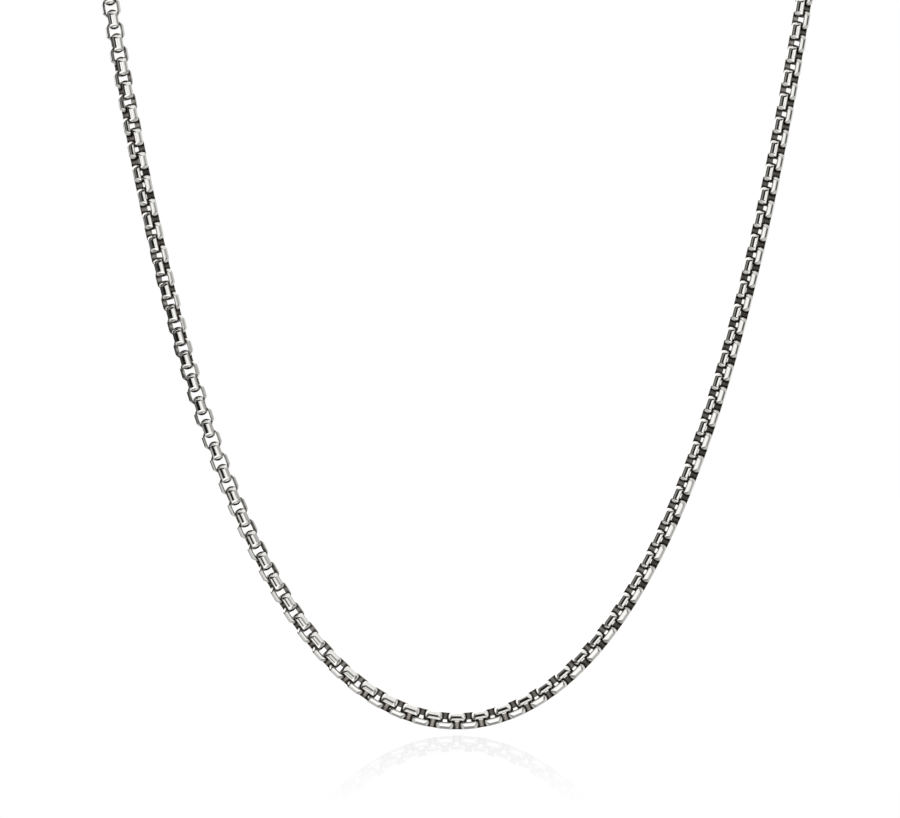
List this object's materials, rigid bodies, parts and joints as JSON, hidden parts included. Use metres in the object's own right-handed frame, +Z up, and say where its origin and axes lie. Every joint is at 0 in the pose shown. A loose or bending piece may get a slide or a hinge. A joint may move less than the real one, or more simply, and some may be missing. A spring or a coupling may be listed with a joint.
{
  "type": "box chain necklace",
  "caption": "Closed necklace of rounded box-chain links in half-round wire, hanging in a deep U, with an oblong clasp at the nape.",
  "frame": {"origin": "the mount nape: the middle of the clasp's side that rests on the back of the neck", "axes": "+Z up, +X to the viewer's right as the necklace hangs facing the viewer, +Y from the front towards the nape"},
  "size_m": [0.1419, 0.0506, 0.1924],
  "materials": {
    "silver": "polished silver, darkened in its recesses"
  },
  "bodies": {
    "root": {"chain_left": "silver", "chain_right": "silver", "clasp": "silver"}
  },
  "joints": []
}
